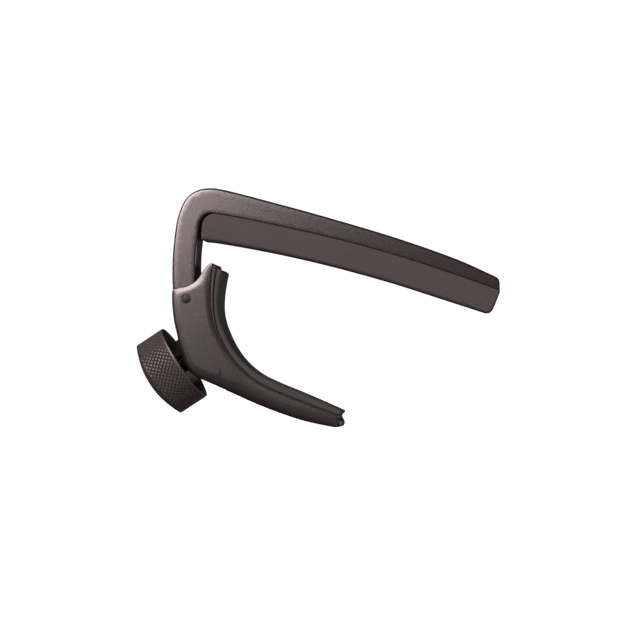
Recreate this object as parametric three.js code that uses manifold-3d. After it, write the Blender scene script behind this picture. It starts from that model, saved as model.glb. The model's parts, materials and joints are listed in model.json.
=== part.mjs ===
// Guitar capo: a C-shaped metal frame with a rubber string pad, a channel-section lever with a rubber
// neck pad, and a micrometer thumb screw that closes the lever on the neck.
// Millimetres. The outlines below are drawn in the side view, x to the right and z up, with the
// pivot pin's centre at 0, 0; y runs through the thickness. The finished capo stands on the rim of its
// knob and the tip of its lever, with its origin at the bottom centre of its bounding box.
import * as THREE from 'three';
import { mergeVertices } from 'three/addons/utils/BufferGeometryUtils.js';
import Module from 'manifold-3d';

const wasm = await Module();
wasm.setup();

// ---- driving dimensions --------------------------------------------------------------------------
const FRAME_HALF = 4.0;            // half the frame's thickness
const FRAME_EDGE = 0.6;            // rounding along the frame's edges
const STRING_PAD_HALF = 4.2;
const LEVER_HALF = 5.7;            // half the lever's width over its cheeks
const CHANNEL_HALF = 4.5;          // half the width inside the channel
const LEVER_EDGE = 0.6;
const NECK_PAD_HALF = 5.2;
const STRING_PAD_EDGE = 0.5;
const NECK_PAD_EDGE = 0.4;
const BOND_GAP = 0.15;             // pad to metal

const PIN_R = 1.0;                 // pivot pin
const PIN_HALF = 5.6;
const PIN_CLEARANCE = 0.1;
const ANCHOR_R = 0.9;              // spring anchor pin
const ANCHOR_X = 7.09;
const ANCHOR_Z = -16.38;
const WASHER_R = 2.5;
const WASHER_IN = 4.06;            // washer faces, measured from the middle of the frame
const WASHER_OUT = 4.44;

const SCREW_TILT = THREE.MathUtils.degToRad(33);   // the screw's rise from knob to lever
const SCREW_ARM = 11.0;            // pivot to screw axis
const SCREW_R = 2.0;               // M4 thread
const SCREW_TOP = 13.6;            // end held in the knob, measured from the thrust land
const SCREW_SHOULDER = 2.6;
const SCREW_CONE = 0.4;            // lead-in at the start of the thread
const BALL_R = 1.15;
const BALL_PLAY = 0.1;
const BALL_END_ANGLE = 0.45;       // where the ball runs into its neck
const NECK_R = 0.8;
const NECK_START = 2.45;
const BUTTON_R = 2.3;
const BUTTON_DOME_R = 4.0;
const BUTTON_FACE = 0.1;
const BUTTON_BACK = 2.05;
const BUTTON_BORE_R = 1.35;
const BUTTON_BORE_END = 0.6;
const BOSS_FRONT = 2.4;            // the threaded boss on the frame's tang
const BOSS_REAR = 7.7;
const BOSS_TOP = 4.9;
const BOSS_BOTTOM = 4.4;
const BOSS_HEEL = 2.6;             // the boss is shallower at its rear, towards the knob
const BOSS_STEP = 5.5;
const BOSS_R = 5.2;
const BUSH_R = 2.8;
const BUSH_BORE_R = 2.1;
const BUSH_FIT = 0.1;
const BUSH_PROUD = 0.05;

const KNOB_R = 9.0;
const KNOB_RIM = 8.7;              // rim plane, measured from the thrust land
const KNOB_BAND = 6.75;            // knurled length
const KNOB_DOME = 2.5;             // height of the domed end
const KNOB_CUP_R = 7.9;
const KNOB_CUP_DEPTH = 4.3;
const KNOB_CHAMFER = 0.25;
const KNOB_CREASE = 0.4;           // the domed end starts this far inside the knurled band
const KNOB_CREASE_DROP = 0.45;
const CUP_EDGE = 0.3;
const CUP_FILLET = 0.6;
const INSERT_R = 3.4;              // metal insert that holds the screw
const INSERT_FLANGE_R = 4.2;
const INSERT_REACH = 1.0;          // how far the insert stands into the cup
const INSERT_DEPTH = 3.4;          // how far it is sunk behind the cup's floor
const INSERT_FIT = 0.1;
const FLANGE_FRONT = 0.3;          // flange faces, measured from the cup's floor
const FLANGE_BACK = 0.5;

const WIRE_R = 0.3;                // return spring wire
const COIL_R = 1.6;                // mean radius of the coil round the pivot pin
const COIL_TURNS = 2.5;
const COIL_INNER_Y = 2.35;         // coil ends, measured from the middle of the frame
const COIL_OUTER_Y = 3.7;
const POCKET_FLOOR_Y = 1.9;
const POCKET_R = 2.25;
const SPRING_LEG = 18.4;
const TAIL_DEPTH = 1.2;
const TAIL_SLOT_R = 0.5;
const TAIL_SLOT_Y = 0.5;
const TAIL_SWING = 0.2612;         // how far the tail turns with the lever
const LEG_FLOOR_Y = 2.8;
const LEG_WALL = 2.25;             // wall that the leg's recess leaves, from the thrust land

// ---- small helpers -------------------------------------------------------------------------------
const v2 = ([x, z]) => new THREE.Vector2(x, z);

function curve(points, pieces) {
  const path = new THREE.CatmullRomCurve3(
    points.map(([x, z]) => new THREE.Vector3(x, z, 0)), false, 'centripetal');
  return path.getSpacedPoints(pieces).map((p) => [p.x, p.y]);
}

function outline(...stretches) {
  const points = stretches.flat();
  const apart = points.filter((p, i) => {
    const q = points[(i + 1) % points.length];
    return Math.hypot(p[0] - q[0], p[1] - q[1]) > 0.02;
  });
  return new THREE.Shape(apart.map(v2));
}

// A side-view outline given thickness, centred on the middle plane, with rounded edges if asked.
function slab(shape, halfWidth, edge = 0) {
  const settings = edge > 0
    ? { depth: 2 * (halfWidth - edge), bevelEnabled: true, bevelThickness: edge, bevelSize: edge,
        bevelOffset: -edge, bevelSegments: 2, steps: 1 }
    : { depth: 2 * halfWidth, bevelEnabled: false, steps: 1 };
  const geometry = new THREE.ExtrudeGeometry(shape, settings);
  geometry.translate(0, 0, -(halfWidth - edge));
  geometry.rotateX(Math.PI / 2);
  return geometry;
}

function slabBetween(shape, yLow, yHigh) {
  return slab(shape, (yHigh - yLow) / 2).translate(0, (yHigh + yLow) / 2, 0);
}

function cylinderY(radius, yLow, yHigh, x = 0, z = 0, sides = 28) {
  return new THREE.CylinderGeometry(radius, radius, yHigh - yLow, sides)
    .translate(x, (yHigh + yLow) / 2, z);
}

// A turned piece: profile points are [radius, height], and the last joins the first.
function turned(profile, sides) {
  return new THREE.LatheGeometry([...profile, profile[0]].map(v2), sides);
}

function asSolid(geometry) {
  const bare = geometry.clone();
  bare.deleteAttribute('normal');
  bare.deleteAttribute('uv');
  const merged = mergeVertices(bare, 1e-4);
  return new wasm.Manifold(new wasm.Mesh({
    numProp: 3,
    vertProperties: new Float32Array(merged.attributes.position.array),
    triVerts: new Uint32Array(merged.index.array),
  }));
}

function asGeometry(solid) {
  const mesh = solid.getMesh();
  const geometry = new THREE.BufferGeometry();
  geometry.setAttribute('position', new THREE.BufferAttribute(mesh.vertProperties, 3));
  geometry.setIndex(new THREE.BufferAttribute(mesh.triVerts, 1));
  return geometry;
}

function cut(body, ...tools) {
  return asGeometry(tools.reduce((left, tool) => left.subtract(asSolid(tool)), asSolid(body)));
}

function piece(name, geometry, colour, roughness, metalness) {
  const mesh = new THREE.Mesh(
    geometry, new THREE.MeshStandardMaterial({ color: colour, roughness, metalness }));
  mesh.name = name;
  return mesh;
}

const PAINT = [0x5d5351, 0.45, 0.6];
const RUBBER = [0x54494a, 0.9, 0.0];
const STEEL = [0x8a8887, 0.35, 1.0];
const BRASS = [0xb08d4f, 0.35, 1.0];
const NYLON = [0xd8d4c8, 0.6, 0.0];

// ---- the screw's line ----------------------------------------------------------------------------
// Its own frame: local +y runs from the lever's thrust land to the knob, local -x runs up across the
// lever, and 0 is the point on the screw's axis nearest the pivot.
const away = new THREE.Vector3(-Math.cos(SCREW_TILT), 0, -Math.sin(SCREW_TILT));
const down = new THREE.Vector3(Math.sin(SCREW_TILT), 0, -Math.cos(SCREW_TILT));
const screwFrame = new THREE.Matrix4()
  .makeBasis(down, away, new THREE.Vector3(0, 1, 0))
  .setPosition(down.clone().multiplyScalar(SCREW_ARM));

function onScrewLine(geometry) {
  return geometry.applyMatrix4(screwFrame);
}

// A side-view point given as distance from the thrust land and height above the screw's axis.
function screwPoint(distance, height) {
  const p = new THREE.Vector3(-height, distance, 0).applyMatrix4(screwFrame);
  return [p.x, p.z];
}

// ---- frame ---------------------------------------------------------------------------------------
const frameBack = curve([[-1.9, -9.6], [-2.3, -6], [-2.85, -2], [-3.45, 3], [-3.5, 8.3], [-3.1, 13.5],
  [-2.2, 18.7], [-0.45, 22.46], [2.0, 24.22], [4.9, 24.72], [7.3, 24.43]], 30);
const armTop = curve([[7.3, 24.43], [20.69, 20.91], [33.98, 17.08], [47.17, 12.95], [60.26, 8.15],
  [67.2, 4.95]], 20);
const armTip = [[68.3, 4.25], [68.95, 3.4]];
const seam = [[68.9, 1.5], [60.26, 4.68], [47.17, 9.11], [33.98, 12.85], [20.69, 16.03],
  [10.66, 18.16], [7.3, 18.78]];
const armUnderside = curve(seam, 20);
const innerCorner = curve([[6.6, 18.92], [5.3, 19.05], [4.0, 18.75], [3.1, 17.9], [2.5, 16.0]], 8);
const uprightInner = curve([[2.45, 15.0], [2.1, 12.6], [1.85, 9.5], [1.8, 6.0], [1.8, 3.5], [2.3, 1.0],
  [2.5, -1.0], [2.1, -4.0], [1.6, -6.4], [2.6, -8.6]], 13);

function frameGeometry() {
  const cShape = slab(outline(frameBack, armTop, armTip, armUnderside, innerCorner, uprightInner),
    FRAME_HALF, FRAME_EDGE);
  const bossBlock = slab(outline([
    screwPoint(BOSS_FRONT, BOSS_TOP), screwPoint(BOSS_REAR, BOSS_TOP), screwPoint(BOSS_REAR, -BOSS_HEEL),
    screwPoint(BOSS_STEP, -BOSS_BOTTOM), screwPoint(BOSS_FRONT, -BOSS_BOTTOM)]), FRAME_HALF);
  const bossRound = onScrewLine(new THREE.CylinderGeometry(BOSS_R, BOSS_R, 2 * BOSS_REAR, 40)
    .translate(0, BOSS_REAR / 2, 0));
  const boss = asSolid(bossBlock).intersect(asSolid(bossRound));
  const blank = asGeometry(asSolid(cShape).add(boss));
  const bushHole = onScrewLine(new THREE.CylinderGeometry(
    BUSH_R + BUSH_FIT, BUSH_R + BUSH_FIT, 4 * BOSS_REAR, 32));
  const outside = FRAME_HALF + 2;
  const pinHole = cylinderY(PIN_R + PIN_CLEARANCE, -outside, outside);
  const coilPocket = cylinderY(POCKET_R, POCKET_FLOOR_Y, outside);
  const legPath = slabBetween(outline([
    screwPoint(-6, 11), screwPoint(LEG_WALL, 11), screwPoint(LEG_WALL, -9), screwPoint(-6, -9)]),
  LEG_FLOOR_Y, outside);
  const [tailSlot, tailRun] = [0, TAIL_SWING].map((turn) => cylinderY(TAIL_SLOT_R, TAIL_SLOT_Y,
    FRAME_HALF, -COIL_R * Math.cos(turn), -COIL_R * Math.sin(turn), 16));
  return cut(blank, bushHole, pinHole, coilPocket, legPath, tailSlot, tailRun);
}

// ---- pads ----------------------------------------------------------------------------------------
const lowered = ([x, z]) => [x - BOND_GAP * 0.3, z - BOND_GAP];

function stringPadGeometry() {
  const top = curve([[68.75, 1.35], ...seam.slice(1, -1), [7.3, 18.78], [5.6, 18.9]].map(lowered), 22);
  const end = [[4.2, 18.1], [3.35, 17.1], [3.1, 15.5], [3.08, 13.7], [3.7, 13.0]];
  const strings = curve([[5.2, 12.85], [12.24, 11.6], [21.22, 9.75], [32.4, 7.05], [45.05, 3.5],
    [56.05, -0.05], [64.5, -2.85]], 17);
  const toe = [[65.7, -3.2], [66.9, -3.0], [67.5, -2.1]];
  return slab(outline(top, end, strings, toe), STRING_PAD_HALF, STRING_PAD_EDGE);
}

const leverSeam = [[6.72, 6.3], [6.33, 4.65], [6.05, 2.0], [5.98, -0.5], [6.12, -3.2], [6.84, -6.7],
  [7.95, -9.34], [9.55, -12.1], [11.35, -14.4], [13.4, -16.4], [15.85, -18.3], [19.04, -20.0],
  [25.8, -22.7], [34.4, -25.9]];

function neckPadGeometry() {
  const inner = curve(leverSeam.map(([x, z]) => [x + BOND_GAP, z + BOND_GAP * 0.8]), 26);
  const outer = curve([[35.1, -24.6], [30.9, -22.8], [25.4, -20.6], [19.6, -18.3], [15.8, -16.45],
    [12.7, -13.9], [10.4, -11.0], [8.9, -8.0], [7.95, -5.0], [7.55, -2.4], [7.55, 0.2], [7.8, 3.2],
    [8.3, 5.7]], 20);
  const head = [[7.6, 6.45]];
  return slab(outline(inner, outer, head), NECK_PAD_HALF, NECK_PAD_EDGE);
}

// ---- lever ---------------------------------------------------------------------------------------
function leverGeometry() {
  const cheekTop = curve([[-2.95, 2.15], [-1.34, 2.59], [0.89, 3.18], [2.2, 4.1], [3.3, 5.6],
    [4.2, 6.85], [5.0, 7.7], [5.8, 7.92], [6.5, 7.7], [6.78, 7.0]], 16);
  const padSide = curve(leverSeam, 26);
  const tip = [[34.9, -26.9], [34.7, -28.0], [33.8, -28.4]];
  const underside = curve([[32.6, -28.25], [26.22, -26.78], [20.92, -25.1], [15.61, -23.06],
    [10.28, -20.68], [5.4, -18.25]], 12);
  const heel = curve([[4.4, -17.75], [2.9, -16.95], [1.5, -15.8], [0.3, -14.2], [-0.9, -11.9]], 7);
  const back = curve([[-1.45, -10.5], [-2.12, -8.17], [-2.82, -5.07], [-3.2, -2.0], [-3.32, 0.3],
    [-3.22, 1.7]], 8);
  const body = slab(outline(cheekTop, padSide, tip, underside, heel, back), LEVER_HALF, LEVER_EDGE);
  const land = (r) => [r * Math.sin(SCREW_TILT), -r * Math.cos(SCREW_TILT)];
  const channel = slab(outline(
    [[4.6, 12], [4.6, 3.0], [4.5, -2.0], land(8.0), land(14.2)],
    curve([[8.7, -13.2], [9.7, -15.2], [9.7, -17.4], [8.9, -19.4]], 5),
    [[8.4, -24], [-12, -24], [-12, 12]]), CHANNEL_HALF);
  const outside = LEVER_HALF + 1;
  const pinHole = cylinderY(PIN_R + PIN_CLEARANCE, -outside, outside);
  const anchorHole = cylinderY(ANCHOR_R + PIN_CLEARANCE, -outside, outside, ANCHOR_X, ANCHOR_Z, 24);
  return cut(body, channel, pinHole, anchorHole);
}

// ---- pins, washers and return spring -------------------------------------------------------------
function pinGeometry(radius, x = 0, z = 0) {
  const edge = 0.15;
  return turned([[0, -PIN_HALF], [radius - edge, -PIN_HALF], [radius, -PIN_HALF + edge],
    [radius, PIN_HALF - edge], [radius - edge, PIN_HALF], [0, PIN_HALF]], 28).translate(x, 0, z);
}

function washerGeometry(side) {
  const bore = PIN_R + PIN_CLEARANCE;
  const ring = turned([[bore, WASHER_IN], [WASHER_R, WASHER_IN], [WASHER_R, WASHER_OUT],
    [bore, WASHER_OUT]], 28);
  return side > 0 ? ring : ring.rotateX(Math.PI);
}

// Wire: a tail sunk in the frame, a coil round the pivot pin, and a long leg on the anchor pin.
class SpringWire extends THREE.Curve {
  getPoint(u, target = new THREE.Vector3()) {
    const tail = 0.08;
    const coilEnd = 0.62;
    const start = Math.PI;
    const sweep = 2 * Math.PI * COIL_TURNS - (Math.PI / 2 - SCREW_TILT) - Math.PI / 2;
    if (u < tail) {
      const rise = u / tail;
      return target.set(-COIL_R, COIL_INNER_Y - TAIL_DEPTH * (1 - rise), 0);
    }
    const k = Math.min((u - tail) / (coilEnd - tail), 1);
    const angle = start + sweep * k;
    const x = COIL_R * Math.cos(angle);
    const z = COIL_R * Math.sin(angle);
    const y = COIL_INNER_Y + (COIL_OUTER_Y - COIL_INNER_Y) * k;
    target.set(x, y, z);
    if (u > coilEnd) {
      const reach = SPRING_LEG * (u - coilEnd) / (1 - coilEnd);
      target.x += reach * -Math.sin(start + sweep);
      target.z += reach * Math.cos(start + sweep);
    }
    return target;
  }
}

function springGeometry() {
  const section = new THREE.Shape();
  section.absarc(0, 0, WIRE_R, 0, 2 * Math.PI);
  return new THREE.ExtrudeGeometry(section,
    { steps: 90, curveSegments: 4, bevelEnabled: false, extrudePath: new SpringWire() });
}

// ---- screw, bush, button and knob, all turned about the screw's line ------------------------------
function screwGeometry() {
  const ballCentre = BUTTON_BORE_END + BALL_R + BALL_PLAY;
  const ball = [[0, ballCentre - BALL_R]];
  for (let i = 1; i <= 6; i += 1) {
    const a = -Math.PI / 2 + i * (Math.PI / 2 + BALL_END_ANGLE) / 6;
    ball.push([BALL_R * Math.cos(a), ballCentre + BALL_R * Math.sin(a)]);
  }
  return turned([...ball, [NECK_R, NECK_START], [NECK_R, SCREW_SHOULDER],
    [SCREW_R - SCREW_CONE, SCREW_SHOULDER], [SCREW_R, SCREW_SHOULDER + SCREW_CONE],
    [SCREW_R, SCREW_TOP], [0, SCREW_TOP]], 28);
}

function buttonGeometry() {
  const dome = [];
  const edgeAngle = Math.asin(BUTTON_R / BUTTON_DOME_R);
  for (let i = 0; i <= 5; i += 1) {
    const a = edgeAngle * i / 5;
    dome.push([BUTTON_DOME_R * Math.sin(a), BUTTON_FACE + BUTTON_DOME_R * (1 - Math.cos(a))]);
  }
  return turned([...dome, [BUTTON_R, BUTTON_BACK], [BUTTON_BORE_R, BUTTON_BACK],
    [BUTTON_BORE_R, BUTTON_BORE_END], [0, BUTTON_BORE_END]], 28);
}

function bushGeometry() {
  const front = BOSS_FRONT + BUSH_FIT;
  const rear = BOSS_REAR + BUSH_PROUD;
  return turned([[BUSH_BORE_R, front], [BUSH_R, front], [BUSH_R, rear], [BUSH_BORE_R, rear]], 32);
}

function knobGeometry() {
  const rim = KNOB_RIM;
  const end = KNOB_RIM + KNOB_BAND;
  const floor = KNOB_RIM + KNOB_CUP_DEPTH;
  const socket = INSERT_R + INSERT_FIT;
  const socketEnd = floor + INSERT_DEPTH + INSERT_FIT;
  const dome = [];
  const flange = INSERT_FLANGE_R + INSERT_FIT;
  const flangeSeat = floor + FLANGE_BACK + INSERT_FIT;
  const crease = KNOB_R - KNOB_CREASE;
  const domeStart = end + KNOB_CREASE_DROP;
  for (let i = 1; i <= 7; i += 1) {
    const r = i === 7 ? 0 : crease * Math.cos(i * Math.PI / 14);
    dome.push([r, domeStart + (KNOB_DOME - KNOB_CREASE_DROP) * (1 - (r / crease) ** 2)]);
  }
  return turned([[KNOB_R - KNOB_CHAMFER, rim], [KNOB_R, rim + KNOB_CHAMFER], [KNOB_R, end],
    [crease, domeStart], ...dome, [0, socketEnd], [socket, socketEnd], [socket, flangeSeat],
    [flange, flangeSeat], [flange, floor], [KNOB_CUP_R - CUP_FILLET, floor],
    [KNOB_CUP_R, floor - CUP_FILLET], [KNOB_CUP_R, rim + CUP_EDGE], [KNOB_CUP_R + CUP_EDGE, rim]], 56);
}

function insertGeometry() {
  const floor = KNOB_RIM + KNOB_CUP_DEPTH;
  const bore = SCREW_R + INSERT_FIT;
  const front = floor - FLANGE_FRONT;
  const back = floor + FLANGE_BACK;
  return turned([[bore, floor - INSERT_REACH], [INSERT_R, floor - INSERT_REACH], [INSERT_R, front],
    [INSERT_FLANGE_R, front], [INSERT_FLANGE_R, back], [INSERT_R, back],
    [INSERT_R, floor + INSERT_DEPTH], [bore, floor + INSERT_DEPTH]], 32);
}

// ---- assembly ------------------------------------------------------------------------------------
const frameGroup = new THREE.Group();
frameGroup.add(piece('frame', frameGeometry(), ...PAINT));
frameGroup.add(piece('string_pad', stringPadGeometry(), ...RUBBER));

const leverGroup = new THREE.Group();
leverGroup.add(piece('lever', leverGeometry(), ...PAINT));
leverGroup.add(piece('neck_pad', neckPadGeometry(), ...RUBBER));
leverGroup.add(piece('pivot_pin', pinGeometry(PIN_R), ...STEEL));
leverGroup.add(piece('spring_anchor_pin', pinGeometry(ANCHOR_R, ANCHOR_X, ANCHOR_Z), ...STEEL));
leverGroup.add(piece('pivot_washer_front', washerGeometry(-1), ...NYLON));
leverGroup.add(piece('pivot_washer_back', washerGeometry(1), ...NYLON));
leverGroup.add(piece('return_spring', springGeometry(), ...STEEL));

const screwGroup = new THREE.Group();
screwGroup.applyMatrix4(screwFrame);
screwGroup.add(piece('screw_bush', bushGeometry(), ...BRASS));
screwGroup.add(piece('adjusting_screw', screwGeometry(), ...STEEL));
screwGroup.add(piece('thrust_button', buttonGeometry(), ...STEEL));
screwGroup.add(piece('knob', knobGeometry(), 0x4a423f, 0.5, 0.5));
screwGroup.add(piece('knob_insert', insertGeometry(), ...BRASS));

// Standing: the knob's outer rim and the lever's tip touch the surface.
const knobFoot = screwPoint(KNOB_RIM + KNOB_BAND, -KNOB_R);
const leverFoot = [33.75, -28.4];
const lean = Math.atan2(knobFoot[1] - leverFoot[1], leverFoot[0] - knobFoot[0]);
const capo = new THREE.Group();
capo.add(frameGroup, leverGroup, screwGroup);
capo.rotation.y = -lean;
const box = new THREE.Box3().setFromObject(capo, true);
capo.position.set(-(box.min.x + box.max.x) / 2, 0, -box.min.z);
capo.updateMatrixWorld(true);

export default capo;
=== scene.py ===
"""A guitar capo, standing on its knob and the tip of its lever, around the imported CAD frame.

Every visible piece is drawn in the capo's side view, in millimetres with the pivot pin's centre at
0, 0 and y through the thickness, and is then carried to its place in the frame by SIDE. Pieces turned
about the screw's line have z measured from the lever's thrust land towards the knob, and are carried
by SCREW.
"""

import json
import math

import bmesh
import bpy
import numpy as np
from mathutils import Matrix, Vector
from mathutils.geometry import delaunay_2d_cdt


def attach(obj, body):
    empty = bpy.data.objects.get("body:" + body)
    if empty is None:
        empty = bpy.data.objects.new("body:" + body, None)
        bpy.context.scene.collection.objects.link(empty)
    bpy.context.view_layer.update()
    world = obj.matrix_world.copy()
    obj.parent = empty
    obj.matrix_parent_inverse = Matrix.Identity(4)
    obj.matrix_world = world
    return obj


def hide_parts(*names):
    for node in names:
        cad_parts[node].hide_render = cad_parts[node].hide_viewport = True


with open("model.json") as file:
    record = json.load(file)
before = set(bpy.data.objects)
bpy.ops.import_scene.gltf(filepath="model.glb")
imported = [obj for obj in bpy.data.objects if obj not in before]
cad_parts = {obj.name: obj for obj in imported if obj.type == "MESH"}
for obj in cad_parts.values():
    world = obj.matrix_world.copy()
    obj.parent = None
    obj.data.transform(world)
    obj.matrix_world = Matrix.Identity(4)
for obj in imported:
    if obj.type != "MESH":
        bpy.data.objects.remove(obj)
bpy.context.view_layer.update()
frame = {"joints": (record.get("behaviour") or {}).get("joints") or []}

# ---- places taken from the frame -------------------------------------------------------------------
MM = 0.001
JOINTS = {joint["name"]: joint for joint in frame["joints"]}
PIVOT = Vector(JOINTS["lever_swing"]["pos_m"])
SCREW_FOOT = Vector(JOINTS["knob_turn"]["pos_m"])
SCREW_DIR = Vector(JOINTS["screw_feed"]["axis"]).normalized()
SCREW_TILT = math.radians(33.0)
SCREW_ARM = (SCREW_FOOT - PIVOT).length / MM
LEAN = math.atan2(SCREW_DIR.z, SCREW_DIR.x) - SCREW_TILT
SIDE = Matrix.Translation(PIVOT) @ Matrix.Rotation(-LEAN, 4, "Y") @ Matrix.Scale(MM, 4)
DOWN = Vector((SCREW_DIR.z, 0, -SCREW_DIR.x))
SCREW = Matrix.Translation(SCREW_FOOT) @ Matrix(
    (DOWN, Vector((0, -1, 0)), -SCREW_DIR)).transposed().to_4x4() @ Matrix.Scale(MM, 4)

# ---- sizes in millimetres --------------------------------------------------------------------------
FRAME_HALF = 4.0            # half widths, through the capo's thickness
LEVER_HALF = 5.5            # at the edge of the cheeks, under their crown
LIP_HALF = 5.3
CHANNEL_HALF = 4.5
STRING_PAD_HALF = 4.1
NECK_PAD_HALF = 5.05
BOSS_HALF = 3.5
LEVER_CROWN, LEVER_CROWN_WIDTH = 0.12, 1.0
STRING_PAD_CROWN, NECK_PAD_CROWN = 0.12, 0.1
LIP = 0.6                   # how far the thin lip that carries the neck pad shows at its top

PIN_R, PIN_HALF = 1.0, 5.64
ANCHOR_R, ANCHOR_HALF = 0.9, 5.68
ANCHOR_X, ANCHOR_Z = 7.09, -16.38
FRAME_PIN_HOLE, LEVER_PIN_HOLE, ANCHOR_HOLE = 1.05, 1.07, 0.94
WASHER_R, WASHER_HOLE, WASHER_INNER, WASHER_OUTER = 2.5, 1.1, 4.06, 4.44
COIL_R, COIL_TURNS, COIL_INNER, COIL_OUTER = 1.6, 2.5, 2.35, 3.7
SPRING_WIRE_R, SPRING_LEG, SPRING_TAIL = 0.3, 18.4, 1.2
POCKET_R, POCKET_FLOOR, POCKET_HALF = 2.24, 1.9, 1.3
LEG_PATH_DEPTH, LEG_PATH_WIDTH, LEG_PATH_REACH = 1.2, 2.25, 11.0

BOSS_FRONT, BOSS_REAR = 2.4, 7.7                    # distances along the screw from the thrust land
BOSS_TOP, BOSS_BOTTOM, BOSS_HEEL = 4.9, 4.0, 2.6    # heights from the screw's axis
BOSS_R = 5.2
BUSH_HOLE, BUSH_R, BUSH_START, BUSH_END = 2.82, 2.8, 2.5, 7.75
SCREW_R, SCREW_PITCH, SCREW_BORE = 2.0, 0.7, 2.08
THREAD_START, THREAD_END = 3.0, 13.4
BALL_R, BALL_AT = 1.15, 1.85
BUTTON_R, BUTTON_DOME_R, BUTTON_HOLE, BUTTON_BACK = 2.3, 4.0, 1.35, 2.05

KNOB_R, KNOB_RIM, KNOB_BAND, KNOB_DOME = 9.0, 8.7, 6.55, 2.5
CUP_R, CUP_DEPTH = 7.9, 4.3
CUP_FLOOR = KNOB_RIM + CUP_DEPTH
KNURL_R, KNURL_DEPTH, KNURL_PITCH, KNURLS_AROUND, KNURL_FLAT = 9.03, 0.28, 1.08, 54, 0.45
SOCKET_R, FLANGE_SEAT_R = 3.45, 4.3
INSERT_R, FLANGE_R = 3.4, 4.2

SAME_POINT = 0.08           # points closer than this count as one
LONG = 8.0                  # past any face that a hole is cut through
FAIRING_ROUNDS = 24
CROWN_ROUNDS = 1500


# ---- outlines --------------------------------------------------------------------------------------
def spline(points, step=0.35):
    """A smooth path through the points: a centripetal Catmull-Rom curve in even steps."""
    p = np.array(points, float)
    p = np.vstack([2 * p[0] - p[1], p, 2 * p[-1] - p[-2]])
    path = []
    for a, b, c, d in zip(p, p[1:], p[2:], p[3:]):
        t1 = np.linalg.norm(b - a) ** 0.5
        t2 = t1 + np.linalg.norm(c - b) ** 0.5
        t3 = t2 + np.linalg.norm(d - c) ** 0.5
        for t in np.linspace(t1, t2, 24, endpoint=False):
            a1 = (t1 - t) / t1 * a + t / t1 * b
            a2 = (t2 - t) / (t2 - t1) * b + (t - t1) / (t2 - t1) * c
            a3 = (t3 - t) / (t3 - t2) * c + (t - t2) / (t3 - t2) * d
            b1 = (t2 - t) / t2 * a1 + t / t2 * a2
            b2 = (t3 - t) / (t3 - t1) * a2 + (t - t1) / (t3 - t1) * a3
            path.append((t2 - t) / (t2 - t1) * b1 + (t - t1) / (t2 - t1) * b2)
    path = np.array(path + [p[-2]])
    return faired(even(path, step))


def even(path, step):
    """The same path with points about one step apart."""
    run = np.concatenate([[0], np.cumsum(np.linalg.norm(np.diff(path, axis=0), axis=1))])
    at = np.linspace(0, run[-1], max(2, int(round(run[-1] / step)) + 1))
    return np.column_stack([np.interp(at, run, path[:, i]) for i in range(path.shape[1])])


def faired(path):
    """Takes the last unevenness out of a path without shrinking it."""
    path = path.copy()
    for _ in range(FAIRING_ROUNDS):
        for pull in (0.5, -0.52):
            path[1:-1] += pull * ((path[:-2] + path[2:]) / 2 - path[1:-1])
    return path


def loop_of(*stretches):
    """Joins stretches into one closed outline, anticlockwise.

    Each stretch is a path with the rounding of its edge, one radius or a first and a last one.
    """
    points, rounding = [], []
    for path, radius in stretches:
        first, last = radius if isinstance(radius, tuple) else (radius, radius)
        for point, r in zip(np.asarray(path, float), np.linspace(first, last, len(path))):
            if points and np.linalg.norm(point - points[-1]) < SAME_POINT:
                continue
            points.append(point)
            rounding.append(r)
    if np.linalg.norm(points[0] - points[-1]) < SAME_POINT:
        points.pop()
        rounding.pop()
    points, rounding = np.array(points), np.array(rounding)
    x, z = points.T
    if np.sum(x * np.roll(z, -1) - np.roll(x, -1) * z) < 0:
        points, rounding = points[::-1], rounding[::-1]
    for _ in range(6):
        rounding = (np.roll(rounding, 1) + 2 * rounding + np.roll(rounding, -1)) / 4
    return points, rounding


def inward(points):
    """Unit directions into an anticlockwise outline, lengthened a little at its corners."""
    ahead = np.roll(points, -1, axis=0) - points
    ahead /= np.linalg.norm(ahead, axis=1)[:, None]
    normal = np.column_stack([-ahead[:, 1], ahead[:, 0]])
    both = normal + np.roll(normal, 1, axis=0)
    length = np.linalg.norm(both, axis=1)[:, None]
    return both / length * np.minimum(2 / length, 1.4)


def screw_point(distance, height):
    """A side-view point given as distance from the thrust land and height above the screw's axis."""
    c, s = math.cos(SCREW_TILT), math.sin(SCREW_TILT)
    return (SCREW_ARM * s - distance * c - height * s, -SCREW_ARM * c - distance * s + height * c)


# Where the frame's arm meets the string pad, and where the lever meets the neck pad.
ARM_SEAM = [(68.9, 1.5), (60.26, 4.68), (47.17, 9.11), (33.98, 12.85), (20.69, 16.03), (10.66, 18.16),
            (7.3, 18.78), (5.6, 19.0)]
LEVER_SEAM = [(6.6, 6.6), (6.33, 4.65), (6.05, 2.0), (5.98, -0.5), (6.12, -3.2), (6.84, -6.7),
              (7.95, -9.34), (9.55, -12.1), (11.35, -14.4), (13.4, -16.4), (15.85, -18.3),
              (19.04, -20.0), (25.8, -22.7), (33.7, -25.65)]


# ---- mesh making -----------------------------------------------------------------------------------
def piece(name, points, faces, carry=SIDE, crease=35.0):
    """A mesh object, drawn in millimetres and carried to its place."""
    mesh = bpy.data.meshes.new(name)
    mesh.from_pydata([tuple(p) for p in points], [], faces)
    mesh.transform(carry)
    obj = bpy.data.objects.new(name, mesh)
    bpy.context.scene.collection.objects.link(obj)
    tidy(obj, crease)
    return obj


def tidy(obj, crease=35.0):
    """Welds doubled points, turns the faces outwards and shades the piece smooth up to a crease."""
    work = bmesh.new()
    work.from_mesh(obj.data)
    bmesh.ops.remove_doubles(work, verts=work.verts, dist=2e-6)
    bmesh.ops.recalc_face_normals(work, faces=work.faces)
    work.to_mesh(obj.data)
    work.free()
    obj.data.shade_smooth()
    obj.data.set_sharp_from_angle(angle=math.radians(crease))


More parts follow.
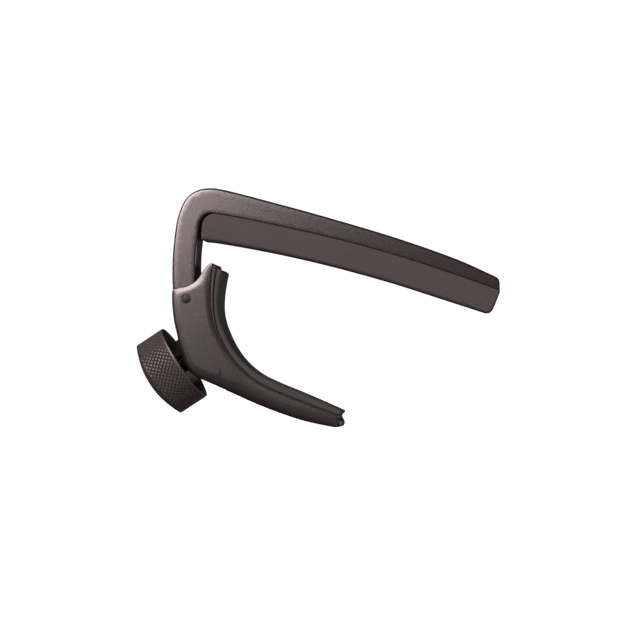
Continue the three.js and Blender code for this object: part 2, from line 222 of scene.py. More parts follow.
def cap(loop, spacing, crown, crown_width):
    """Fills a closed outline with even triangles, raised in the middle into a shallow crown."""
    low, high = loop.min(0), loop.max(0)
    xs = np.arange(low[0] + spacing / 2, high[0], spacing)
    zs = np.arange(low[1] + spacing / 2, high[1], spacing)
    grid = np.array([(x + (k % 2) * spacing / 2, z) for k, z in enumerate(zs) for x in xs])
    gap = np.min(np.linalg.norm(grid[:, None] - loop[None], axis=2), axis=1)
    grid = grid[(gap > spacing * 0.55) & inside(grid, loop)]
    n = len(loop)
    edges = [(i, (i + 1) % n) for i in range(n)]
    verts = [Vector(p) for p in loop] + [Vector(p) for p in grid]
    out, _, faces, origin, _, _ = delaunay_2d_cdt(verts, edges, [list(range(n))], 1, 1e-5)
    where = {}
    for new, old in enumerate(origin):
        for o in old:
            where.setdefault(o, new)
    order = [where[i] for i in range(n)]
    flat = np.array([tuple(v) for v in out])
    height = crown_heights(flat, faces, set(order), crown, crown_width)
    return flat, height, faces, order


def inside(points, loop):
    """Which points lie inside a closed outline."""
    x, z = points[:, 0:1], points[:, 1:2]
    ax, az = loop[:, 0], loop[:, 1]
    bx, bz = np.roll(ax, -1), np.roll(az, -1)
    crosses = (az > z) != (bz > z)
    with np.errstate(divide="ignore", invalid="ignore"):
        at = (bx - ax) * (z - az) / (bz - az) + ax
    return (crosses & (x < at)).sum(1) % 2 == 1


def crown_heights(flat, faces, rim, crown, width):
    """Heights of a film blown up over the outline, levelled off towards the crown's full height."""
    if not crown:
        return np.zeros(len(flat))
    pairs = {tuple(sorted((f[i], f[i - 1]))) for f in faces for i in range(len(f))}
    a, b = np.array(sorted(pairs)).T
    pull = 1 / np.sum((flat[a] - flat[b]) ** 2, axis=1)
    n = len(flat)
    count = np.bincount(a, minlength=n) + np.bincount(b, minlength=n)
    total = np.maximum(np.bincount(a, pull, n) + np.bincount(b, pull, n), 1e-9)
    free = np.ones(n)
    free[list(rim)] = 0
    film = np.zeros(n)
    for _ in range(CROWN_ROUNDS):
        near = np.bincount(a, pull * film[b], n) + np.bincount(b, pull * film[a], n)
        film = free * (near + count / 4) / total
    return crown * np.tanh(film / width ** 2)


def slab(name, outline, half, crown=0.0, crown_width=1.6, rings=6, spacing=0.8):
    """An outline given thickness: rounded edges of varying radius and two crowned or flat faces."""
    loop, rounding = outline
    into = inward(loop)
    n = len(loop)
    levels = []
    for k in range(rings + 1):
        turn = k / rings * math.pi / 2
        ring = loop + into * (rounding * (1 - math.cos(turn)))[:, None]
        levels.append((ring, half - rounding * (1 - math.sin(turn))))
    flat, height, faces, order = cap(levels[-1][0], spacing, crown, crown_width)
    points, quads = [], []
    for side in (-1, 1):
        base = len(points)
        for ring, y in levels[:-1]:
            points += [(p[0], side * h, p[1]) for p, h in zip(ring, y)]
        top = len(points)
        points += [(p[0], side * (half + h), p[1]) for p, h in zip(flat, height)]
        index = [[base + k * n + i for i in range(n)] for k in range(rings)]
        index.append([top + i for i in order])
        for low, high in zip(index, index[1:]):
            quads += [(low[i], low[(i + 1) % n], high[(i + 1) % n], high[i]) for i in range(n)]
        quads += [tuple(top + i for i in f) for f in faces]
        if side < 0:
            first = index[0]
        else:
            quads += [(first[i], first[(i + 1) % n], index[0][(i + 1) % n], index[0][i])
                      for i in range(n)]
    return piece(name, points, quads)


def turned(name, profile, sides=96, carry=SCREW):
    """A turned piece: profile points are (radius, height) about the z axis, and close on themselves."""
    points, faces, rings = [], [], []
    for radius, height in profile:
        if radius < 1e-6:
            rings.append([len(points)] * sides)
            points.append((0, 0, height))
        else:
            rings.append([len(points) + i for i in range(sides)])
            points += [(radius * math.cos(a), radius * math.sin(a), height)
                       for a in np.linspace(0, 2 * math.pi, sides, endpoint=False)]
    for low, high in zip(rings, rings[1:] + rings[:1]):
        for i in range(sides):
            face = [low[i], low[i - 1], high[i - 1], high[i]]
            corners = [v for k, v in enumerate(face) if v not in face[:k]]
            if len(corners) > 2:
                faces.append(corners)
    return piece(name, points, faces, carry)


def along_y(x=0.0, z=0.0):
    """Carries a turned piece so that its axis runs through the capo at x, z of the side view."""
    return SIDE @ Matrix.Translation((x, 0, z)) @ Matrix.Rotation(math.pi / 2, 4, "X")


def combine(obj, tool, how="DIFFERENCE"):
    """Joins or cuts a piece with another, which is used up."""
    step = obj.modifiers.new("combine", "BOOLEAN")
    step.operation, step.solver, step.object = how, "EXACT", tool
    made = bpy.data.meshes.new_from_object(obj.evaluated_get(bpy.context.evaluated_depsgraph_get()))
    obj.modifiers.clear()
    obj.data = made
    bpy.data.objects.remove(tool)
    tidy(obj)
    return obj


def hole(name, radius, carry):
    """A round bar to cut a hole with."""
    return turned(name, [(0, -LONG), (radius, -LONG), (radius, LONG), (0, LONG)], 64, carry)


def moved_back(obj, y):
    """Moves a cutting piece through the thickness, away from the front."""
    obj.data.transform(Matrix.Translation((0, y * MM, 0)))
    return obj


def rounded(corners, radius):
    """A profile with each of its corners rounded by a small arc; points on the axis stay sharp."""
    steps = 4
    result = []
    n = len(corners)
    for i, corner in enumerate(corners):
        p = np.array(corner, float)
        before, after = np.array(corners[i - 1], float) - p, np.array(corners[(i + 1) % n], float) - p
        reach = min(radius, np.linalg.norm(before) * 0.45, np.linalg.norm(after) * 0.45)
        if p[0] < 1e-6 or reach < 1e-6:
            result.append(tuple(p))
            continue
        a = p + before / np.linalg.norm(before) * reach
        b = p + after / np.linalg.norm(after) * reach
        for t in np.linspace(0, 1, steps + 1):
            result.append(tuple((1 - t) ** 2 * a + 2 * t * (1 - t) * p + t ** 2 * b))
    return result


# ---- materials -------------------------------------------------------------------------------------
class Nodes:
    """A material and short calls for the nodes that feed its shader."""

    def __init__(self, name):
        self.material = bpy.data.materials.new(name)
        self.material.use_nodes = True
        self.tree = self.material.node_tree
        self.shader = self.tree.nodes["Principled BSDF"]
        self.where = self.tree.nodes.new("ShaderNodeTexCoord").outputs["Object"]

    def link(self, source, target):
        self.tree.links.new(source, target)

    def noise(self, scale, detail=4.0, roughness=0.55):
        node = self.tree.nodes.new("ShaderNodeTexNoise")
        node.inputs["Scale"].default_value = scale
        node.inputs["Detail"].default_value = detail
        node.inputs["Roughness"].default_value = roughness
        self.link(self.where, node.inputs["Vector"])
        return node.outputs["Fac"]

    def grains(self, scale):
        node = self.tree.nodes.new("ShaderNodeTexVoronoi")
        node.inputs["Scale"].default_value = scale
        self.link(self.where, node.inputs["Vector"])
        return node.outputs["Distance"]

    def ramp(self, value, low, high, start=0.3, end=0.7):
        node = self.tree.nodes.new("ShaderNodeMapRange")
        node.inputs["From Min"].default_value = start
        node.inputs["From Max"].default_value = end
        node.inputs["To Min"].default_value = low
        node.inputs["To Max"].default_value = high
        self.link(value, node.inputs["Value"])
        return node.outputs["Result"]

    def colours(self, value, first, second):
        node = self.tree.nodes.new("ShaderNodeValToRGB")
        node.color_ramp.elements[0].position = 0.3
        node.color_ramp.elements[1].position = 0.7
        node.color_ramp.elements[0].color = (*first, 1)
        node.color_ramp.elements[1].color = (*second, 1)
        self.link(value, node.inputs["Fac"])
        return node.outputs["Color"]

    def mix(self, share, first, second):
        node = self.tree.nodes.new("ShaderNodeMix")
        node.data_type = "RGBA"
        self.link(share, node.inputs["Factor"])
        self.link(first, node.inputs["A"])
        self.link(second, node.inputs["B"])
        return node.outputs["Result"]

    def bump(self, value, height, before=None):
        node = self.tree.nodes.new("ShaderNodeBump")
        node.inputs["Strength"].default_value = 1.0
        node.inputs["Distance"].default_value = height
        self.link(value, node.inputs["Height"])
        if before:
            self.link(before, node.inputs["Normal"])
        return node.outputs["Normal"]

    def finish(self, colour, roughness, normal, metallic=0.0, specular=0.5):
        self.link(colour, self.shader.inputs["Base Color"])
        self.link(roughness, self.shader.inputs["Roughness"])
        self.link(normal, self.shader.inputs["Normal"])
        self.shader.inputs["Metallic"].default_value = metallic
        self.shader.inputs["Specular IOR Level"].default_value = specular
        return self.material


def shade(colour, factor):
    """A colour made darker or lighter."""
    return tuple(c * factor for c in colour)


def painted(name, colour, roughness, specular):
    """Satin paint with fine metal flake, a slight orange peel and slightly uneven gloss."""
    n = Nodes(name)
    flake = n.grains(4200)
    cloud = n.noise(60, 3)
    plain = n.colours(cloud, shade(colour, 0.95), shade(colour, 1.05))
    bright = n.colours(cloud, shade(colour, 1.3), shade(colour, 1.4))
    base = n.mix(n.ramp(flake, 0, 1, 0.1, 0.8), plain, bright)
    rough = n.ramp(n.noise(4600, 3, 0.6), roughness - 0.01, roughness + 0.01)
    peel = n.bump(n.noise(2600, 2), 0.0000022)
    normal = n.bump(flake, 0.000002, peel)
    n.shader.inputs["Specular Tint"].default_value = (1.0, 0.84, 0.83, 1)
    n.shader.inputs["IOR"].default_value = 1.7
    return n.finish(base, rough, normal, 0.0, specular)


def rubber(name, colour):
    """Matte moulded rubber with a fine grain, faint blotches and a little dust."""
    n = Nodes(name)
    blotch = n.noise(120, 4)
    dust = n.noise(4200, 3, 0.7)
    clean = n.colours(blotch, shade(colour, 0.94), shade(colour, 1.06))
    dusty = n.colours(blotch, shade(colour, 1.6), shade(colour, 1.7))
    base = n.mix(n.ramp(dust, 0, 0.5, 0.5, 0.75), clean, dusty)
    rough = n.ramp(blotch, 0.78, 0.9)
    grain = n.bump(n.noise(4200, 4, 0.7), 0.000022)
    return n.finish(base, rough, grain, 0.0, 0.25)


def bare_metal(name, colour, roughness):
    """Machined metal with a fine grain and uneven polish."""
    n = Nodes(name)
    grain = n.noise(2500, 3, 0.6)
    base = n.colours(n.noise(200, 3), shade(colour, 0.88), shade(colour, 1.1))
    rough = n.ramp(grain, roughness - 0.08, roughness + 0.12)
    return n.finish(base, rough, n.bump(grain, 0.000004), 1.0, 0.5)


def plastic(name, colour):
    """Plain moulded nylon, slightly mottled."""
    n = Nodes(name)
    mottle = n.noise(400, 3)
    return n.finish(n.colours(mottle, shade(colour, 0.92), colour), n.ramp(mottle, 0.5, 0.65),
                    n.bump(n.noise(2000, 3), 0.000005), 0.0, 0.4)


GUNMETAL = painted("gunmetal_paint", (0.0155, 0.0105, 0.0105), 0.265, 0.75)
KNOB_BLACK = painted("knob_paint", (0.043, 0.033, 0.032), 0.48, 0.4)
PAD_RUBBER = rubber("pad_rubber", (0.056, 0.042, 0.04))
# The neck pad gets a darker copy of the pad rubber: painted shade on the neck pad.
SHADED_PAD_RUBBER = rubber("pad_rubber_painted_shade", (0.046, 0.0345, 0.033))
PIN_STEEL = bare_metal("pin_steel", (0.042, 0.038, 0.042), 0.5)
BLACK_STEEL = bare_metal("black_steel", (0.035, 0.033, 0.032), 0.45)
SCREW_STEEL = bare_metal("screw_steel", (0.42, 0.41, 0.4), 0.32)
BRASS = bare_metal("brass", (0.62, 0.43, 0.18), 0.32)
NYLON = plastic("nylon", (0.6, 0.58, 0.52))


def place(obj, material, body, slot, *nodes):
    """Gives a finished piece its material and its body, and hides the CAD nodes that it stands for."""
    obj.data.materials.clear()
    obj.data.materials.append(material)
    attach(obj, body)
    if nodes:
        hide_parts(*nodes)
    return obj


# ---- frame -----------------------------------------------------------------------------------------
def make_frame():
    back = spline([(-1.9, -9.6), (-2.3, -6), (-2.85, -2), (-3.45, 3), (-3.5, 8.3), (-3.1, 13.5),
                   (-2.2, 18.7), (-0.45, 22.46), (2.0, 24.22), (4.9, 24.72), (7.3, 24.43),
                   (20.69, 20.91), (33.98, 17.08), (47.17, 12.95), (60.26, 8.15), (67.2, 4.95)])
    tip = spline([(67.6, 4.75), (68.35, 4.3), (68.8, 3.7), (68.9, 3.0)], 0.15)
    underside = spline(ARM_SEAM)
    inner = spline([(5.3, 19.0), (4.1, 18.75), (3.15, 17.95), (2.6, 16.6), (2.4, 15.0), (2.1, 12.6),
                    (1.85, 9.5), (1.8, 6.0), (1.8, 3.5), (2.3, 1.0), (2.5, -1.0), (2.1, -4.0),
                    (1.6, -6.4), (2.6, -8.6)])
    body = slab("capo_frame", loop_of((back, 0.7), (tip, 0.4), (underside, 0.28), (inner, 0.4)),
                FRAME_HALF)
    upper = np.array([screw_point(BOSS_FRONT, BOSS_TOP), screw_point(BOSS_REAR, BOSS_TOP),
                      screw_point(BOSS_REAR, 0)])
    lower = np.array([screw_point(BOSS_REAR, -BOSS_HEEL), screw_point(5.5, -BOSS_BOTTOM),
                      screw_point(BOSS_FRONT, -BOSS_BOTTOM)])
    boss = slab("boss", loop_of((upper, 0.2), (lower, 1.8)), BOSS_HALF)
    rear, edge = BOSS_REAR + 0.01, 0.3
    combine(boss, turned("boss_round", [(0, -5), (BOSS_R, -5), (BOSS_R, BOSS_REAR - edge),
                                        (BOSS_R - edge, rear), (0, rear)]), "INTERSECT")
    combine(body, boss, "UNION")
    combine(body, turned("bush_hole", [(0, -LONG), (BUSH_HOLE, -LONG), (BUSH_HOLE, 12), (0, 12)]))
    combine(body, hole("pin_hole", FRAME_PIN_HOLE, along_y()))
    circle = np.array([(POCKET_R * math.cos(a), POCKET_R * math.sin(a))
                       for a in np.linspace(0, 2 * math.pi, 48, endpoint=False)])
    pocket = slab("spring_pocket", loop_of((circle, 0.01)), POCKET_HALF)
    combine(body, moved_back(pocket, POCKET_FLOOR + POCKET_HALF))
    corners = [(-6, LEG_PATH_REACH), (LEG_PATH_WIDTH, LEG_PATH_REACH), (LEG_PATH_WIDTH, -9), (-6, -9)]
    leg_path = loop_of((np.array([screw_point(*corner) for corner in corners]), 0.01))
    combine(body, moved_back(slab("leg_path", leg_path, LEG_PATH_DEPTH), FRAME_HALF))
    return place(body, GUNMETAL, "frame_body", "painted_frame", "frame")


def make_string_pad():
    top = spline([(x, z - 0.02) for x, z in ARM_SEAM])
    end = spline([(5.4, 18.9), (4.4, 18.45), (3.6, 17.6), (3.2, 16.4), (3.1, 15.0), (3.06, 14.0),
                  (3.06, 13.25)], 0.25)
    strings = spline([(3.15, 13.16), (5.2, 12.93), (12.24, 11.7), (21.22, 9.86), (32.4, 7.15),
                      (45.05, 3.55), (56.05, -0.05), (64.5, -2.85)])
    toe = spline([(65.0, -3.0), (65.9, -3.2), (66.8, -2.95), (67.35, -2.2), (67.9, -1.0),
                  (68.8, 1.3)], 0.25)
    pad = slab("string_pad_rubber", loop_of((top, 0.25), (end, 0.25), (strings, 0.85), (toe, 0.3)),
               STRING_PAD_HALF, STRING_PAD_CROWN)
    return place(pad, PAD_RUBBER, "frame_body", "pad_rubber", "string_pad")


# ---- lever -----------------------------------------------------------------------------------------
def make_lever():
    seam = spline(LEVER_SEAM)
    along = np.gradient(seam, axis=0)
    along /= np.linalg.norm(along, axis=1)[:, None]
    left = np.column_stack([along[:, 1], -along[:, 0]])
    run = np.linspace(0, 1, len(seam))[:, None]
    cheek_side = seam + left * LIP * np.clip(1 - 2.6 * run, 0.12, 1)
    top = spline([(-2.95, 2.15), (-1.34, 2.59), (-0.1, 2.8), (0.89, 3.18), (2.1, 4.0), (2.9, 4.95),
                  (3.55, 6.0), (4.25, 6.9), (5.0, 7.62), (5.55, 7.85), (6.05, 7.75), (6.25, 7.2)], 0.25)
    tip = spline([(33.75, -26.2), (34.1, -26.8), (34.2, -27.6), (33.85, -28.15), (33.1, -28.3)], 0.2)
    bottom = spline([(32.6, -28.3), (26.22, -26.97), (20.92, -25.32), (15.61, -23.3),
                     (10.28, -20.95), (5.4, -18.8), (4.0, -18.15), (2.2, -17.35), (0.7, -16.2),
                     (-0.35, -14.5), (-1.05, -12.3), (-1.65, -10.3), (-2.12, -8.17), (-2.82, -5.07),
                     (-3.2, -2.0), (-3.32, 0.3), (-3.25, 1.6)])
    bends = [int(len(bottom) * share) for share in (0.46, 0.56, 0.74)]
    arm, heel_start, heel_end, back = np.split(bottom, bends)
    corner = spline([(-3.25, 1.6), (-3.15, 1.95), (-2.95, 2.15)], 0.15)
    body = slab("capo_lever", loop_of((corner, 0.45), (top, 0.38), (cheek_side[1:], 0.5), (tip, 0.5),
                                      (arm, (1.1, 2.0)), (heel_start, 1.6),
                                      (heel_end, (1.5, 1.1)), (back, (1.0, 0.7))),
                LEVER_HALF, LEVER_CROWN, LEVER_CROWN_WIDTH, rings=8, spacing=0.42)
    lip_back = seam + left * (LIP + 0.7)
    lip = slab("lip", loop_of((seam, 0.12), (lip_back[::-1], 0.05)), LIP_HALF)
    combine(body, lip, "UNION")
    land = [(r * math.sin(SCREW_TILT), -r * math.cos(SCREW_TILT)) for r in (8.0, 14.2)]
    curl = spline([(8.7, -13.2), (9.7, -15.2), (9.7, -17.4), (8.9, -19.4)])
    channel = slab("channel", loop_of(
        (spline([(4.6, 12), (4.6, 3.0), (4.5, -2.0), land[0], land[1]]), 0.25), (curl, 0.25),
        (np.array([(8.4, -24), (-12, -24), (-12, 12)]), 0.25)), CHANNEL_HALF)
    combine(body, channel)
    combine(body, hole("pin_hole", LEVER_PIN_HOLE, along_y()))
    combine(body, hole("anchor_hole", ANCHOR_HOLE, along_y(ANCHOR_X, ANCHOR_Z)))
    return place(body, GUNMETAL, "lever_body", "painted_frame", "lever")


def make_neck_pad():
    seam = spline([(x + 0.03, z + 0.02) for x, z in LEVER_SEAM])
    end = spline([(33.8, -25.55), (34.2, -25.15), (34.4, -24.85), (34.35, -24.65)], 0.2)
    face = spline([(34.2, -24.55), (30.9, -23.05), (25.4, -20.7), (19.6, -18.35), (15.8, -16.45),
                   (12.7, -13.9), (10.4, -11.0), (8.8, -8.0), (7.65, -5.0), (7.15, -2.4), (7.15, 0.2),
                   (7.5, 3.2), (7.9, 5.4)])
    head = spline([(8.0, 5.8), (7.95, 6.1), (7.65, 6.4), (7.25, 6.6), (6.8, 6.7)], 0.2)
    pad = slab("neck_pad_rubber", loop_of((seam, 0.3), (end, 0.2), (face, 0.7), (head, 0.3)),
               NECK_PAD_HALF, NECK_PAD_CROWN)
    # The darker rubber copy given here is painted shade on the neck pad.
    return place(pad, SHADED_PAD_RUBBER, "lever_body", "pad_rubber", "neck_pad")


# ---- pins, washers and return spring ---------------------------------------------------------------
def make_pins():
    for name, radius, x, z, half, edge in (
            ("pivot_pin", PIN_R, 0, 0, PIN_HALF, 0.2),
            ("spring_anchor_pin", ANCHOR_R, ANCHOR_X, ANCHOR_Z, ANCHOR_HALF, 0.1)):
        profile = [(0, -half), *rounded([(radius, -half), (radius, half)], edge), (0, half)]
        pin = turned(name + "_turned", profile, 64, along_y(x, z))
        place(pin, PIN_STEEL, "lever_body", "steel", name)


def make_washers():
    for name, side in (("pivot_washer_front", 1), ("pivot_washer_back", -1)):
        inner, outer = WASHER_INNER * side, WASHER_OUTER * side
        ring = rounded([(WASHER_HOLE, inner), (WASHER_R, inner), (WASHER_R, outer),
                        (WASHER_HOLE, outer)], 0.06)
        place(turned(name + "_turned", ring, 64, along_y()), NYLON, "lever_body", "nylon", name)


def wire(path, radius):
    """Points and faces of a round wire along a path, with closed ends."""
    sides = 12
    path = np.array(path, float)
    ahead = np.gradient(path, axis=0)
    ahead /= np.linalg.norm(ahead, axis=1)[:, None]
    across = np.cross(ahead[0], (0.3, 0.1, 0.9))
    points, faces = [], []
    for at, along in zip(path, ahead):
        across = across - along * across.dot(along)
        across /= np.linalg.norm(across)
        up = np.cross(along, across)
        points += [at + radius * (math.cos(a) * across + math.sin(a) * up)
                   for a in np.linspace(0, 2 * math.pi, sides, endpoint=False)]
    for k in range(len(path) - 1):
        for i in range(sides):
            j = (i + 1) % sides
            faces.append((k * sides + i, k * sides + j, (k + 1) * sides + j, (k + 1) * sides + i))
    faces += [tuple(range(sides))[::-1], tuple(range((len(path) - 1) * sides, len(path) * sides))]
    return points, faces


def make_spring():
    """A straight tail into the frame, a coil round the pivot pin and a long leg to the anchor pin."""
    sweep = 2 * math.pi * COIL_TURNS - (math.pi / 2 - SCREW_TILT) - math.pi / 2
    path = [(-COIL_R, y, 0) for y in np.linspace(COIL_INNER - SPRING_TAIL, COIL_INNER - 0.15, 5)]
    for k in np.linspace(0.02, 1, 90):
        a = math.pi + sweep * k
        path.append((COIL_R * math.cos(a), COIL_INNER + (COIL_OUTER - COIL_INNER) * k,
                     COIL_R * math.sin(a)))
    end = math.pi + sweep
    for reach in np.linspace(0.5, SPRING_LEG, 24):
        path.append((COIL_R * math.cos(end) - reach * math.sin(end), COIL_OUTER,
                     COIL_R * math.sin(end) + reach * math.cos(end)))
    spring = piece("return_spring_wire", *wire(path, SPRING_WIRE_R))
    return place(spring, SCREW_STEEL, "lever_body", "steel", "return_spring")


# ---- screw, bush, button and knob ------------------------------------------------------------------
def threaded(name, radius, pitch, start, end, ends):
    """A screw thread: each ring's radius follows the helix, fading out at both ends.

    The two ends are closed by turned profiles of (radius, height), the last point on the axis.
    """
    sides, steps, clearance, fade_length = 48, 10, 0.02, 0.5
    levels = np.arange(start, end + 1e-6, pitch / steps)
    angles = np.linspace(0, 2 * math.pi, sides, endpoint=False)
    points, faces = [], []
    depth = 0.54 * pitch
    for h in levels:
        fade = min(1.0, (h - start) / fade_length, (end - h) / fade_length)
        for a in angles:
            phase = (h / pitch - a / (2 * math.pi)) % 1.0
            cut = min(1.0, max(0.0, 1.25 - abs(phase - 0.5) * 3.2))  # 0 on the crests, 1 at the roots
            r = radius - clearance - depth * cut * max(fade, 0.0)
            points.append((r * math.cos(a), r * math.sin(a), h))
    for k in range(len(levels) - 1):
        for i in range(sides):
            j = (i + 1) % sides
            faces.append((k * sides + i, k * sides + j, (k + 1) * sides + j, (k + 1) * sides + i))
    first = tuple(range(sides))
    last = tuple(range((len(levels) - 1) * sides, len(levels) * sides))
    for base, profile in ((first, ends[0]), (last, ends[1])):
        ring = base
        for r, h in profile:
            if r < 1e-6:
                points.append((0, 0, h))
                faces += [(ring[i], ring[(i + 1) % sides], len(points) - 1) for i in range(sides)]
                break
            new = tuple(range(len(points), len(points) + sides))
            points += [(r * math.cos(a), r * math.sin(a), h) for a in angles]
            faces += [(ring[i], ring[(i + 1) % sides], new[(i + 1) % sides], new[i])
                      for i in range(sides)]
            ring = new
    return piece(name, points, faces, SCREW, 50.0)


def make_screw():
    """The screw from its ball, through its shoulder and thread, to its far end in the knob."""
    ball = [(BALL_R * math.cos(a), BALL_AT + BALL_R * math.sin(a))
            for a in np.linspace(0.45, -math.pi / 2, 12)]
    ball[-1] = (0, ball[-1][1])
    neck, shoulder = 0.8, THREAD_START - 0.4
    tip = [(1.6, shoulder), (neck, shoulder), (neck, shoulder - 0.15), *ball]
    far = [(1.7, THREAD_END + 0.2), (0, THREAD_END + 0.2)]
    screw = threaded("adjusting_screw_thread", SCREW_R, SCREW_PITCH, THREAD_START, THREAD_END, (tip, far))
    return place(screw, BLACK_STEEL, "knob_body", "steel", "adjusting_screw")


def make_button():
    """A domed button with a socket for the screw's ball."""
    gap, floor = 0.1, 0.6
    dome = [(BUTTON_DOME_R * math.sin(a), gap + BUTTON_DOME_R * (1 - math.cos(a)))
            for a in np.linspace(0, math.asin(BUTTON_R / BUTTON_DOME_R), 10)]
    back = rounded([(BUTTON_R, BUTTON_BACK), (BUTTON_HOLE, BUTTON_BACK)], 0.12)
    button = turned("thrust_button_turned", [*dome, *back, (BUTTON_HOLE, floor), (0, floor)], 64)
    return place(button, SCREW_STEEL, "button_body", "steel", "thrust_button")


def make_bush():
    bush = turned("screw_bush_turned", rounded([
        (SCREW_BORE, BUSH_START), (BUSH_R, BUSH_START), (BUSH_R, BUSH_END), (SCREW_BORE, BUSH_END)],
        0.12), 64)
    return place(bush, BRASS, "frame_body", "brass", "screw_bush")


def make_insert():
    """A flanged brass insert that is pressed into the knob's socket."""
    front, flange_front, flange_back, back = (CUP_FLOOR + d for d in (-1.0, -0.3, 0.5, 3.4))
    insert = turned("knob_insert_turned", rounded([
        (SCREW_BORE, front), (INSERT_R, front), (INSERT_R, flange_front), (FLANGE_R, flange_front),
        (FLANGE_R, flange_back), (INSERT_R, flange_back), (INSERT_R, back), (SCREW_BORE, back)],
        0.12), 64)
    return place(insert, BRASS, "knob_body", "brass", "knob_insert")


def cut_off(corners, height, keep):
    """Cuts a polygon of (angle step, height, radius) corners along a height; keep is 1 above, -1 below."""
    kept = []
    for p, q in zip(corners, corners[1:] + corners[:1]):
        dp, dq = keep * (p[1] - height), keep * (q[1] - height)
        if dp >= 0:
            kept.append(p)
        if dp * dq < 0:
            t = dp / (dp - dq)
            kept.append(tuple(p[i] + t * (q[i] - p[i]) for i in range(3)))
    return kept


def knurling(radius, depth, around, pitch, start, end):
    """Diamond knurling: flat-topped pyramids between crossed grooves, cut off square at both ends."""
    sides, flat = 2 * around, KNURL_FLAT
    rows = int((end - start) / (pitch / 2)) + 2
    cells = []
    for b in range(-1, rows + 1):
        for a in range(sides):
            if (a + b) % 2:
                around_it = [(a - 1, b), (a, b + 1), (a + 1, b), (a, b - 1)]
                low = [(x, start + y * pitch / 2, radius - depth) for x, y in around_it]
                high = [(a + (x - a) * flat, start + (b + (y - b) * flat) * pitch / 2, radius)
                        for x, y in around_it]
                cells.append(high)
                cells += [[low[i], low[(i + 1) % 4], high[(i + 1) % 4], high[i]] for i in range(4)]
    cells = [cut_off(cell, start, 1) for cell in cells]
    cells = [cut_off(cell, end, -1) for cell in cells if len(cell) > 2]
    return sides, [cell for cell in cells if len(cell) > 2]


def make_knob():
    """A cup with a knurled band, a smooth domed end and a socket for the insert."""
    start, end = KNOB_RIM + 0.5, KNOB_RIM + KNOB_BAND
    sides, cells = knurling(KNURL_R, KNURL_DEPTH, KNURLS_AROUND, KNURL_PITCH, start, end)
    points, faces, known = [], [], {}

    def corner(a, height, radius):
        key = (round(a % sides, 5) % sides, round(height, 5), round(radius, 5))
        if key not in known:
            turn = 2 * math.pi * key[0] / sides
            known[key] = len(points)
            points.append((radius * math.cos(turn), radius * math.sin(turn), height))
        return known[key]

    for cell in cells:
        ring = [corner(*c) for c in cell]
        ring = [v for i, v in enumerate(ring) if v != ring[i - 1]]
        if len(ring) > 2:
            faces.append(ring)

    rise, crease = 0.24, KNOB_R - 0.55
    dome = [(KNOB_R - 0.02) * math.cos(t) for t in np.linspace(0.05, math.pi / 2, 20)]
    dome = [(r, end + rise + (KNOB_DOME - rise) * (1 - (r / KNOB_R) ** 2)) for r in dome[:-1]]
    outer = [(KNOB_R - 0.32, end + 0.02), (crease, end + 0.06), (crease, end + 0.14),
             (KNOB_R - 0.04, end + 0.18), *dome, (0, end + KNOB_DOME)]
    rim = [(KNOB_R - 0.12, start - 0.06), (KNOB_R + 0.01, start - 0.12), (KNOB_R + 0.01, KNOB_RIM + 0.06),
           (KNOB_R - 0.06, KNOB_RIM), (CUP_R + 0.4, KNOB_RIM), (CUP_R + 0.12, KNOB_RIM + 0.08)]
    cup = [(CUP_R, KNOB_RIM + 0.4), (CUP_R, CUP_FLOOR - 0.7), (CUP_R - 0.2, CUP_FLOOR - 0.2),
           (CUP_R - 0.7, CUP_FLOOR), (FLANGE_SEAT_R, CUP_FLOOR)]
    socket = [(FLANGE_SEAT_R, CUP_FLOOR + 0.6), (SOCKET_R, CUP_FLOOR + 0.6),
              (SOCKET_R, CUP_FLOOR + 3.5), (0, CUP_FLOOR + 3.5)]
    inner = [*rim, *cup, *socket]
    for level, profile in ((end, outer), (start, inner)):
        edge = sorted((key[0], v) for key, v in known.items() if abs(key[1] - level) < 1e-4)
        turns = [2 * math.pi * a / sides for a, _ in edge]
        ring = [v for _, v in edge]
        for radius, height in profile:
            new = list(range(len(points), len(points) + (len(ring) if radius else 1)))
            points += [(radius * math.cos(t), radius * math.sin(t), height)
                       for t in (turns if radius else [0])]
            for i in range(len(ring)):
                j = (i + 1) % len(ring)
                faces.append((ring[i], ring[j], new[j], new[i]) if radius else (ring[i], ring[j], new[0]))
            ring = new
    knob = piece("thumb_knob", points, faces, SCREW, 24.0)
    return place(knob, KNOB_BLACK, "knob_body", "painted_knob", "knob")


make_frame()
make_string_pad()
make_lever()
make_neck_pad()
make_pins()
make_washers()
make_spring()
make_screw()
make_button()
make_bush()
make_insert()
make_knob()

# ---- stage, light and camera -----------------------------------------------------------------------
VIEW_CENTRE = SIDE @ Vector((26.91, 0, -2.38))
VIEW_DISTANCE = 0.4
VIEW_AZIMUTH = math.radians(6.3)
VIEW_ELEVATION = math.radians(-2.6)
VIEW_WIDTH = 0.1378
SENSOR = 36.0


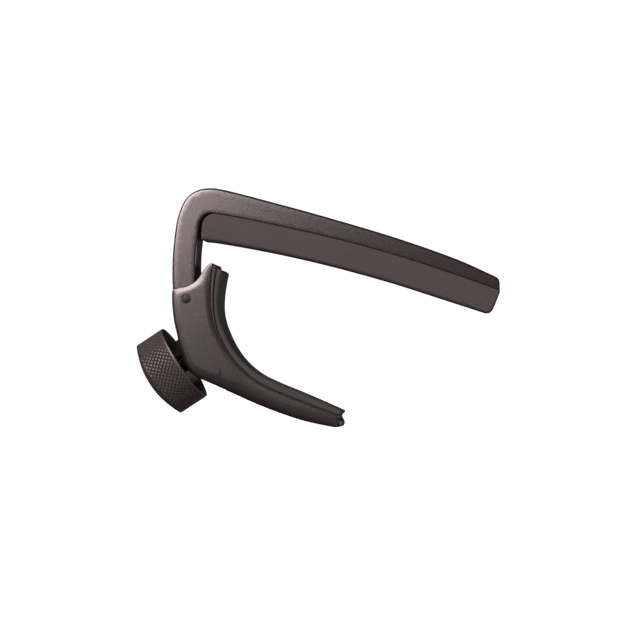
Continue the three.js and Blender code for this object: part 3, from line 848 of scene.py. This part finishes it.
def make_stage():
    """A round pale floor that curves up into a backdrop on every side."""
    flat, bend, rise, around = 1.2, 0.3, 1.6, 64
    profile = [(0.001, 0.0), (flat, 0.0)]
    profile += [(flat + bend * math.sin(t), bend * (1 - math.cos(t)))
                for t in np.linspace(0, math.pi / 2, 12)[1:]]
    profile.append((flat + bend, rise))
    n = len(profile)
    turns = [2 * math.pi * i / around for i in range(around)]
    points = [(r * math.cos(t), r * math.sin(t), z) for t in turns for r, z in profile]
    faces = [(i * n + k, (i + 1) % around * n + k, (i + 1) % around * n + k + 1, i * n + k + 1)
             for i in range(around) for k in range(n - 1)]
    faces.append([i * n for i in range(around)])
    mesh = bpy.data.meshes.new("floor")
    mesh.from_pydata(points, [], faces)
    floor = bpy.data.objects.new("floor", mesh)
    bpy.context.scene.collection.objects.link(floor)
    mesh.shade_smooth()
    stage = bpy.data.materials.new("stage_white")
    stage.use_nodes = True
    shader = stage.node_tree.nodes["Principled BSDF"]
    shader.inputs["Base Color"].default_value = (0.9, 0.9, 0.9, 1)
    shader.inputs["Roughness"].default_value = 0.9
    shader.inputs["Emission Color"].default_value = (1, 1, 1, 1)
    shader.inputs["Emission Strength"].default_value = 1.0
    mesh.materials.append(stage)
    floor.visible_glossy = False
    floor.visible_diffuse = False
    floor.visible_shadow = False


def make_light(name, place_at, size, power):
    """A softbox facing the capo, placed in metres from its middle and never seen by the camera."""
    data = bpy.data.lights.new(name, "AREA")
    data.shape = "RECTANGLE"
    data.size, data.size_y = size
    data.energy = power
    lamp = bpy.data.objects.new(name, data)
    bpy.context.scene.collection.objects.link(lamp)
    aim = -Vector(place_at)
    lamp.matrix_world = (Matrix.Translation(VIEW_CENTRE + Vector(place_at))
                         @ aim.to_track_quat("-Z", "Y").to_matrix().to_4x4())
    lamp.visible_camera = False
    return lamp


def make_lights():
    make_light("key", (-0.245, -0.35, 0.195), (0.34, 0.31), 3.45)
    make_light("rear_key", (0.43, 0.32, -0.02), (0.3, 0.35), 1.1).visible_diffuse = False
    make_light("rear_soft", (-0.2, 0.6, 0.3), (0.35, 0.3), 1.2).visible_glossy = False
    make_light("low_fill", (0.2, -0.35, -0.3), (0.3, 0.3), 0.9).visible_glossy = False
    make_light("right_fill", (0.45, -0.6, 0.1), (0.3, 0.3), 0.5).visible_glossy = False
    world = bpy.data.worlds.new("studio")
    bpy.context.scene.world = world
    world.use_nodes = True
    shader = world.node_tree.nodes["Background"]
    shader.inputs["Color"].default_value = (1, 1, 1, 1)
    shader.inputs["Strength"].default_value = 0.02


def make_camera():
    a, e = VIEW_AZIMUTH, VIEW_ELEVATION
    roll = Matrix.Rotation(-LEAN, 3, "Y")
    towards = roll @ Vector((math.sin(a) * math.cos(e), -math.cos(a) * math.cos(e), math.sin(e)))
    up = roll @ Vector((0, 0, 1))
    right = up.cross(towards).normalized()
    data = bpy.data.cameras.new("camera")
    data.sensor_width = SENSOR
    data.lens = SENSOR * VIEW_DISTANCE / VIEW_WIDTH
    data.clip_start = 0.01
    camera = bpy.data.objects.new("camera", data)
    bpy.context.scene.collection.objects.link(camera)
    axes = Matrix((right, towards.cross(right), towards)).transposed().to_4x4()
    camera.matrix_world = Matrix.Translation(VIEW_CENTRE + towards * VIEW_DISTANCE) @ axes
    bpy.context.scene.camera = camera


make_stage()
make_lights()
make_camera()
bpy.context.scene.view_settings.view_transform = "Standard"
